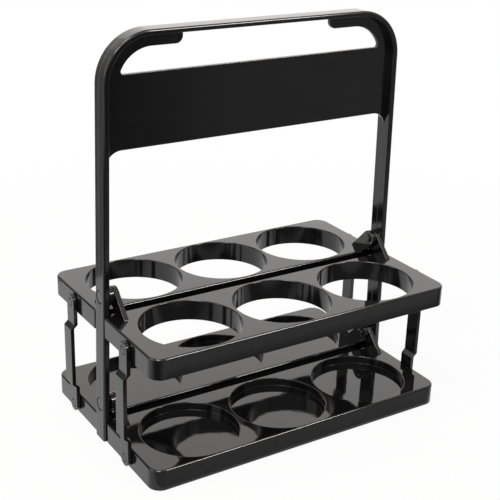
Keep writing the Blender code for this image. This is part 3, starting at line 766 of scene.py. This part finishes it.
def link_end(shell, links, across, sign, shift):
    """A link's rounded end with the recess and the hole for its pin, its height times a sign, plus a shift.

    Its edge is a plate's edge carried round the end, and its recess and hole are a profile turned about the
    pin's axis on the rays to that edge.
    """
    radius, small = links.width / 2, links.seat
    near = -links.side_gap
    far = near - links.thickness

    def lean(plane, along):
        """Normals from the end's plane."""
        return seen_from_end(plane * (1, sign), along)

    def lift(plane, along):
        """Points from the end's plane."""
        return lean(plane, along) + (0, 0, shift)

    half = [(radius, -radius, 0), (radius, radius, radius)]
    outline = profile_of(half + [(-x, y, rounding) for x, y, rounding in reversed(half)], FINE_STEP)
    plane = swept(shell, outline, plate_edge(far, near, links.edge, EDGE_STEP), lift, lean=lean, closed=False)
    base = np.stack([across, np.full(len(across), -radius)], -1)
    border = np.concatenate([plane[0], base[1:-1]])
    rays = border / np.linalg.norm(border, axis=1, keepdims=True)
    hole, floor = links.pin + small, far + links.recess_depth
    section = [
        (links.recess + 2 * small, far, 0),
        (links.recess, far, small),
        (links.recess, floor, 0),
        (hole, floor, 0),
        (hole, near, 0),
        (hole + small, near, 0),
    ]
    mirrored = profile_of([(reach, -x, rounding) for reach, x, rounding in section])
    tube = swept(shell, (np.zeros(2), rays), [item * (1, -1) for item in mirrored], lift, lean=lean)
    for along, loop, facing in ((far, tube[0], -1), (near, tube[-1], 1)):
        ribbon(shell, (border, loop), along, (facing, 0, 0), lift)


def link_shell(trays, links):
    """A link with its origin on its upper pin axis at the tray's end, bowed towards -X between two ends.

    A point of the bar is the section's point plus the bow at its height.
    """
    shell = Shell()
    radius, edge = links.width / 2, links.edge
    near = -links.side_gap
    far = near - links.thickness
    section = [(-radius, far, edge), (radius, far, edge), (radius, near, edge), (-radius, near, edge)]
    outline, normals, _ = rounded_path(section, spacing=EDGE_STEP)
    jogs, slopes = jog_line(trays, links)
    points = np.broadcast_arrays(outline[:, 1] + jogs[:, :1], outline[:, 0], jogs[:, 1:])
    leans = np.broadcast_arrays(normals[:, 1], normals[:, 0], -normals[:, 1] * slopes[:, None])
    shell.grid(np.stack(points, -1), np.stack(leans, -1), closed=True)
    across = np.sort(outline[np.abs(outline[:, 1] - far) < TINY, 0])
    for sign, shift in ((1, 0), (-1, -trays.tiers)):
        link_end(shell, links, across, sign, shift)
    return shell


def pin_shell(top, tail, head, shank, snap_end, rounding, steps):
    """A pin turned about X: its head (radius, depth) from the top, its shank, and its snap end's corners."""
    shell = Shell()
    radius, depth = head
    under = top + depth
    corners = [(0, top, 0), (radius, top, rounding), (radius, under, 0), (shank, under, 0), (shank, tail, 0)]
    corners += [(reach, x, rounding / 2) for reach, x in snap_end] + [(0, snap_end[-1][1], 0)]
    lathe(shell, corners, steps)
    return shell


def post_pin_shell(line, handle, trays, links, height):
    """A pin through a post and both arms, along +X from its head."""
    top = -(line.x(height) - handle.recess_depth + links.seat + links.post_head_depth)
    inner_face = line.arm_face - trays.arm - links.hub_gap
    tail = -(inner_face - trays.arm - links.seat)
    end, slope, radius = tail + links.post_tail_length, links.post_tail_length / 2, links.post_tail
    snap_end = [(radius, tail), (radius, end - slope), (radius - slope, end)]
    head = (links.post_head, links.post_head_depth)
    return pin_shell(top, tail, head, links.post_pin, snap_end, links.round, LATHE_STEPS)


def link_pin_shell(trays, links):
    """A pin from a link's recess through the tray's end wall and boss, with its origin on that wall."""
    top = -(links.side_gap + links.thickness - links.recess_depth + links.seat + links.pin_head_depth)
    tail = trays.wall + links.pin_boss + links.seat
    snap_end = [(links.pin_tail, tail), (links.pin_tail - links.round, tail + links.pin_tail_length)]
    head = (links.pin_head, links.pin_head_depth)
    return pin_shell(top, tail, head, links.pin, snap_end, links.round, PIN_STEPS)


# Materials


class Signal:
    """A node's output. Arithmetic on it adds Math nodes."""

    def __init__(self, tree, socket):
        self.tree, self.socket = tree, socket

    def _math(self, operation, *values):
        return add_node(self.tree, "ShaderNodeMath", {"operation": operation}, dict(enumerate(values)))

    def __add__(self, other):
        return self._math("ADD", self, other)

    def __radd__(self, other):
        return self._math("ADD", other, self)

    def __sub__(self, other):
        return self._math("SUBTRACT", self, other)

    def __rsub__(self, other):
        return self._math("SUBTRACT", other, self)

    def __mul__(self, other):
        return self._math("MULTIPLY", self, other)

    def __rmul__(self, other):
        return self._math("MULTIPLY", other, self)

    def __abs__(self):
        return self._math("ABSOLUTE", self)

    def vector(self, operation, other=(0.0, 0.0, 0.0), output="Value"):
        """This vector and another one through a Vector Math node."""
        values = {0: self, 1: other}
        return add_node(self.tree, "ShaderNodeVectorMath", {"operation": operation}, values, output)

    def part(self, axis):
        """One coordinate of this vector."""
        return add_node(self.tree, "ShaderNodeSeparateXYZ", {}, {0: self}, axis)

    def smooth(self, low, high):
        """0 below low, 1 above high, and a smooth rise between."""
        values = {"Value": self, "From Min": low, "From Max": high}
        return add_node(self.tree, "ShaderNodeMapRange", {"interpolation_type": "SMOOTHSTEP"}, values)

    def other(self, output):
        """Another output of the same node."""
        return Signal(self.tree, self.socket.node.outputs[output])

    def feed(self, node, socket):
        """Links this value to a node's socket."""
        self.tree.links.new(self.socket, node.inputs[socket])


def add_node(tree, kind, settings, values, output=0):
    """Adds a node, sets it, and fills its sockets with values or links. Gives one of its outputs."""
    node = tree.nodes.new(kind)
    for name, value in settings.items():
        setattr(node, name, value)
    for socket, value in values.items():
        if isinstance(value, Signal):
            value.feed(node, socket)
        else:
            node.inputs[socket].default_value = value
    return Signal(tree, node.outputs[output])


def coordinates(tree, output="Object"):
    """Coordinates in the object's own space."""
    return add_node(tree, "ShaderNodeTexCoord", {}, {}, output)


def noise(place, scale, detail, distortion=0.0):
    """A noise value of a given scale per metre."""
    values = {"Vector": place, "Scale": scale, "Detail": detail, "Distortion": distortion}
    return add_node(place.tree, "ShaderNodeTexNoise", {}, values)


def colour_mix(factor, first, second):
    """A mix of two colours."""
    values = {"Factor": factor, 6: (*first, 1.0), 7: (*second, 1.0)}
    return add_node(factor.tree, "ShaderNodeMix", {"data_type": "RGBA"}, values, 2)


def shader_mix(material, factor, kind, is_first):
    """Mixes a second shader into a material's surface, as the mix's first or second shader."""
    tree = material.node_tree
    pair = [Signal(tree, tree.nodes["Principled BSDF"].outputs[0]), add_node(tree, kind, {}, {})]
    if is_first:
        pair.reverse()
    mixed = add_node(tree, "ShaderNodeMixShader", {}, {0: factor, 1: pair[0], 2: pair[1]})
    mixed.feed(tree.nodes["Material Output"], "Surface")


def new_material(name):
    """A new material and its shader."""
    material = bpy.data.materials.new(name)
    material.use_nodes = True
    return material, material.node_tree.nodes["Principled BSDF"]


def moulded_plastic(finish, kind):
    """Glossy black moulded plastic with the mould's slow ripple, fine grain and hazy handled patches.

    kind says how much of the surface handling has dulled. The handle also has the parting line at Y = 0, and
    the mark of the mould's gate.
    """
    material, shader = new_material(kind + "_plastic")
    tree = material.node_tree
    place = coordinates(tree)
    worn = noise(place, *HAZE).smooth(*(limit - DULLED[kind] * HAZE_SHIFT for limit in HAZE_LIMITS))
    specks = noise(place, *SPECKS).smooth(*SPECK_LIMITS)
    level = abs(coordinates(tree, "Normal").part("Z")).smooth(*LEVEL_LIMITS)
    rough = finish.gloss + (1 - level) * (finish.walls - finish.gloss)
    rough = rough + worn * (finish.handled - finish.gloss) + specks * SPECK_ROUGHNESS
    rough.feed(shader, "Roughness")
    base = np.array(finish.base)
    factor = noise(place, *CLOUDS) * CLOUD_SHARE + worn * (1 - CLOUD_SHARE)
    colour_mix(factor, base * DARK_TONE, base * PALE_TONE + PALE_DUST).feed(shader, "Base Color")
    height = noise(place, *RIPPLE) * finish.ripple + noise(place, *GRAIN) * finish.grain
    if kind == "handle":
        height = height + (1 - abs(place.part("Y")).smooth(*SEAM_LIMITS)) * finish.seam
        height = height - (1 - place.vector("DISTANCE", finish.gate).smooth(*GATE_LIMITS)) * finish.gate_depth
    bump = add_node(tree, "ShaderNodeBump", {}, {"Strength": 1.0, "Distance": 1.0, "Height": height})
    bump.feed(shader, "Normal")
    shader.inputs["IOR"].default_value = finish.index
    return material


def plain(name, rgb):
    """A matt material for the stage."""
    material, shader = new_material(name)
    shader.inputs["Base Color"].default_value = (*rgb, 1.0)
    shader.inputs["Roughness"].default_value = MATT
    return material


# Pieces


def add_object(name, data):
    """A new object in the scene."""
    item = bpy.data.objects.new(name, data)
    bpy.context.scene.collection.objects.link(item)
    return item


def place_piece(name, mesh, material, body, node):
    """Puts a finished mesh in the scene with its material and its body, and hides the CAD node it stands for.
    """
    piece = add_object(name, mesh)
    mesh.materials.append(material)
    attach(piece, body)
    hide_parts(node)


def turned(place, is_turned):
    """The matrix that puts a shape on a place, turned half a turn about the vertical or not."""
    return Matrix.Translation(place) @ Matrix.Rotation(math.pi if is_turned else 0, 4, "Z")


def link_place(plan, links, side, is_rear, height):
    """The matrix that puts a link or its pin on a tray's end, where the tray's pivot has a height."""
    y = plan.middle if is_rear else -plan.middle
    return turned((side * plan.end, y, height + plan.deck - links.pin_drop), side > 0)


def plans(scene):
    """The sizes of trays, handle and links, and the posts' line and the trays' plan from them."""
    trays, handle, links = scene.carrier_trays, scene.carrier_handle, scene.carrier_links
    line = PostLine(trays, handle, links)
    return trays, handle, links, line, TrayPlan(trays, line.arm_face + links.hub_gap)


class CARRIER_OT_trays(bpy.types.Operator):
    """Build the four trays with their holes, cups, skirts and pivot arms"""

    bl_idname = "carrier.trays"
    bl_label = "Trays"

    def execute(self, context):
        trays, _, links, line, plan = plans(context.scene)
        for level, height in line.levels.items():
            shell = tray_shell(plan, trays, links, line, level == "lower")
            slot = level + "_tray"
            material = moulded_plastic(context.scene.carrier_finish, slot)
            for row, is_rear in ROWS.items():
                node = row + "_" + slot
                mesh = shell.build(node, turned((0, 0, height), is_rear))
                place_piece(node + "_moulding", mesh, material, node, node)
        return {"FINISHED"}


class CARRIER_OT_handle(bpy.types.Operator):
    """Build the handle frame: band, corner webs, panel and pivot recesses"""

    bl_idname = "carrier.handle"
    bl_label = "Handle frame"

    def execute(self, context):
        _, handle, links, line, _ = plans(context.scene)
        shell = Shell()
        band(shell, line, handle, links)
        web(shell, line, handle)
        material = moulded_plastic(context.scene.carrier_finish, "handle")
        name, node = "handle_moulding", "handle_frame"
        place_piece(name, shell.build(name), material, "handle", node)
        return {"FINISHED"}


class CARRIER_OT_links(bpy.types.Operator):
    """Build the four links that tie the tiers together"""

    bl_idname = "carrier.links"
    bl_label = "Links"

    def execute(self, context):
        trays, _, links, line, plan = plans(context.scene)
        shell = link_shell(trays, links)
        material = moulded_plastic(context.scene.carrier_finish, "link")
        for row, is_rear in ROWS.items():
            for side_name, side in SIDES.items():
                node = side_name + "_" + row + "_link"
                mesh = shell.build(node, link_place(plan, links, side, is_rear, line.upper))
                place_piece(node + "_bar", mesh, material, node, node)
        return {"FINISHED"}


class CARRIER_OT_pins(bpy.types.Operator):
    """Build the pins through the posts and through the link ends"""

    bl_idname = "carrier.pins"
    bl_label = "Pins"

    def execute(self, context):
        trays, handle, links, line, plan = plans(context.scene)
        finish = context.scene.carrier_finish
        post_material, link_material = (moulded_plastic(finish, kind) for kind in ("post_pin", "link_pin"))
        small = link_pin_shell(trays, links)
        for level, height in line.levels.items():
            pin = post_pin_shell(line, handle, trays, links, height)
            for side_name, side in SIDES.items():
                node = side_name + "_" + level + "_post_pin"
                mesh = pin.build(node, turned((0, 0, height), side > 0))
                place_piece(node + "_turned", mesh, post_material, "handle", node)
                for row, is_rear in ROWS.items():
                    node = side_name + "_" + row + "_" + level + "_link_pin"
                    mesh = small.build(node, link_place(plan, links, side, is_rear, height))
                    body = row + "_" + level + "_tray"
                    place_piece(node + "_turned", mesh, link_material, body, node)
        return {"FINISHED"}


# Stage

# The cards: a corner, two sides from it, and the distances from the left, right, lower and upper edge over
# which they fade out. Their shades are settings of the same names
SHARP, SOFT = 0.002, 0.08
CARDS = {
    "dark_card": ((-0.59, -1.268, 0), (2.02, 1.296, 0), (0, 0, 0.42), (SHARP, SHARP, SHARP, SOFT)),
    "front_card": ((0.197, -0.758, 0), (1.212, 0.778, 0), (0, 0, 0.42), (0.25, SHARP, SHARP, SOFT)),
    "side_card": ((-0.885, 0.345, 0), (0.65, 0, 0), (0, 0, 0.72), (SHARP, SHARP, SHARP, 0.45)),
    "far_mat": ((-0.35, -0.90, 0), (1.55, 0, 0), (0, 0.54, 0), (0.19, SHARP, SHARP, SHARP)),
    # The front mat is painted shadow: the carrier's shadow on the floor before it, seen only in reflections
    "front_mat": ((-0.35, -0.47, 0.0001), (1.55, 0, 0), (0, 0.364, 0), (0.19, SHARP, 0.06, SHARP)),
    # The near mat is painted shadow: the darkest floor just in front of the carrier, seen only in reflections
    "near_mat": ((-0.60, -0.295, 0.0002), (1.30, 0, 0), (0, 0.135, 0), (0.15, SOFT, 0.03, 0.04)),
    "camera_mat": ((-1.0, -0.90, 0.0003), (0.92, 0, 0), (0, 0.93, 0), (SHARP, 0.22, SHARP, 0.25)),
}

# The lamps: a place, a target, a width and height, and whether only reflections see it. Their strengths are
# settings of the same names
SOFTBOXES = {
    "back": ((0.85, 1.30, 0.75), (0, 0, 0.15), (2.6, 1.1), False),
    "top": ((-0.45, -0.30, 1.50), (0, 0, 0.1), (0.5, 0.4), False),
    "edge": ((0.82, -1.15, 1.32), (0, 0, 0.1), (0.6, 0.25), True),
    "corner": ((-0.95, -0.95, 1.50), (0, 0, 0.15), (0.5, 0.4), True),
    "side": ((-1.5, 0.2, 0.9), (0, 0, 0.1), (0.9, 0.9), False),
}

# The floor's reach, its height just under the posts' feet, and where its own white begins and ends to grow
FLOOR_REACH, FLOOR_Z, FLOOR_LIMITS = 6.0, -0.0004, (0.35, 1.1)

CAMERA_AZIMUTH, CAMERA_ELEVATION, CAMERA_ROLL = (math.radians(angle) for angle in (-32.97, 22.33, 1.86))
CAMERA_DISTANCE, CAMERA_TARGET = 1.01973, (-0.0013, 0.0, 0.15735)
CAMERA_LENS, CAMERA_SENSOR = 77.54, 36.0


def softbox(name, place, target, size, power, only_gloss):
    """A rectangular lamp that faces a target, or one that only the plastic's reflections see."""
    lamp = bpy.data.lights.new(name, "AREA")
    lamp.shape, lamp.energy = "RECTANGLE", power
    lamp.size, lamp.size_y = size
    lamp.color = bpy.context.scene.carrier_studio.warmth
    item = add_object(name, lamp)
    item.location = place
    item.rotation_euler = (Vector(target) - Vector(place)).to_track_quat("-Z", "Y").to_euler()
    item.visible_diffuse = not only_gloss


def flat_sheet(name, corner, across, up, material):
    """A stage object on the parallelogram of two sides from a corner."""
    mesh = bpy.data.meshes.new(name)
    mesh.from_pydata([corner, corner + across, corner + across + up, corner + up], [], [(0, 1, 2, 3)])
    mesh.materials.append(material)
    item = add_object(name, mesh)
    return item


def card(name, corner, across, up, shade, fades):
    """A card that only the plastic's reflections see.

    fades holds the distances from its left, right, lower and upper edge over which it fades out.
    """
    corner, across, up = Vector(corner), Vector(across), Vector(up)
    material = plain(name, (shade,) * 3)
    start = coordinates(material.node_tree).vector("SUBTRACT", corner, "Vector")
    shown = 1
    for side, (near, far) in ((across, fades[:2]), (up, fades[2:])):
        along = start.vector("DOT_PRODUCT", side.normalized())
        shown = shown * along.smooth(0, near) * (side.length - along).smooth(0, far)
    shader_mix(material, shown, "ShaderNodeBsdfTransparent", True)
    item = flat_sheet(name, corner, across, up, material)
    item.visible_camera = item.visible_diffuse = item.visible_shadow = False


def seen_directly(tree):
    """1 for the camera, in mirrors and through glass, and 0 elsewhere; and 1 in mirrors alone."""
    camera = add_node(tree, "ShaderNodeLightPath", {}, {}, "Is Camera Ray")
    glossy = camera.other("Is Glossy Ray")
    return camera + glossy + camera.other("Is Transmission Ray"), glossy


def floor_material(studio):
    """Matt white, with part of its own white shown to the camera and to reflections beside its shadows."""
    material = plain("floor", studio.floor)
    tree = material.node_tree
    away = coordinates(tree).vector("LENGTH").smooth(*FLOOR_LIMITS)
    seen, _ = seen_directly(tree)
    shader_mix(material, seen * (studio.veil + away * (1 - studio.veil)), "ShaderNodeEmission", False)
    return material


def white_world(studio):
    """A world that lights at the ambient strength, white to the camera and warm white in reflections."""
    world = bpy.data.worlds.new("studio")
    bpy.context.scene.world = world
    world.use_nodes = True
    background = world.node_tree.nodes["Background"]
    seen, glossy = seen_directly(world.node_tree)
    (studio.ambient + seen * (1 - studio.ambient)).feed(background, "Strength")
    colour_mix(glossy, (1.0, 1.0, 1.0), studio.warmth).feed(background, "Color")


def studio_camera():
    """A camera at the photograph's angle, distance and lens."""
    cos_e, sin_e = math.cos(CAMERA_ELEVATION), math.sin(CAMERA_ELEVATION)
    cos_a, sin_a = math.cos(CAMERA_AZIMUTH), math.sin(CAMERA_AZIMUTH)
    back, level = Vector((sin_a * cos_e, -cos_a * cos_e, sin_e)), Vector((cos_a, sin_a, 0))
    upright = back.cross(level)
    right = level * math.cos(CAMERA_ROLL) + upright * math.sin(CAMERA_ROLL)
    up = upright * math.cos(CAMERA_ROLL) - level * math.sin(CAMERA_ROLL)
    lens = bpy.data.cameras.new("camera")
    lens.lens, lens.sensor_width = CAMERA_LENS, CAMERA_SENSOR
    camera = add_object("camera", lens)
    turn = Matrix((right, up, back)).transposed().to_4x4()
    camera.matrix_world = Matrix.Translation(Vector(CAMERA_TARGET) + back * CAMERA_DISTANCE) @ turn
    bpy.context.scene.camera = camera


class CARRIER_OT_stage(bpy.types.Operator):
    """Set up the floor, the cards, the soft lamps and the camera"""

    bl_idname = "carrier.stage"
    bl_label = "Studio"

    def execute(self, context):
        studio = context.scene.carrier_studio
        corner, across, up = (Vector(side) * FLOOR_REACH for side in ((-1, -1, 0), (2, 0, 0), (0, 2, 0)))
        flat_sheet("floor", corner, across, up, floor_material(studio)).location.z = FLOOR_Z
        for name, (corner, across, up, fades) in CARDS.items():
            card(name, corner, across, up, getattr(studio, name), fades)
        for name, (place, target, size, only_gloss) in SOFTBOXES.items():
            softbox(name + "_softbox", place, target, size, getattr(studio, name), only_gloss)
        white_world(studio)
        studio_camera()
        context.scene.view_settings.view_transform = "Standard"
        return {"FINISHED"}


class CARRIER_PT_panel(bpy.types.Panel):
    """The carrier's pieces and settings"""

    bl_idname = "CARRIER_PT_panel"
    bl_label = "Bottle carrier"
    bl_space_type = "VIEW_3D"
    bl_region_type = "UI"
    bl_category = "Carrier"

    def draw(self, context):
        for operator in OPERATORS:
            self.layout.operator(operator.bl_idname)
        for name, group in GROUPS.items():
            box = self.layout.box()
            box.label(text=group.__doc__)
            for key in group.__annotations__:
                box.prop(getattr(context.scene, name), key)


GROUPS = {
    "carrier_trays": TraySizes,
    "carrier_handle": HandleSizes,
    "carrier_links": LinkSizes,
    "carrier_finish": PlasticFinish,
    "carrier_studio": StudioSettings,
}
OPERATORS = (CARRIER_OT_trays, CARRIER_OT_handle, CARRIER_OT_links, CARRIER_OT_pins, CARRIER_OT_stage)


def register():
    """Registers the classes and gives the scene its settings."""
    for item in (*GROUPS.values(), *OPERATORS, CARRIER_PT_panel):
        bpy.utils.register_class(item)
    for name, group in GROUPS.items():
        setattr(bpy.types.Scene, name, PointerProperty(type=group))


def unregister():
    """Takes away what register added."""
    for name in GROUPS:
        delattr(bpy.types.Scene, name)
    for item in (CARRIER_PT_panel, *reversed(OPERATORS), *GROUPS.values()):
        bpy.utils.unregister_class(item)


def main():
    """Builds everything."""
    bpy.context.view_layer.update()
    register()
    bpy.ops.carrier.trays()
    bpy.ops.carrier.handle()
    bpy.ops.carrier.links()
    bpy.ops.carrier.pins()
    bpy.ops.carrier.stage()


if __name__ == "__main__":
    main()
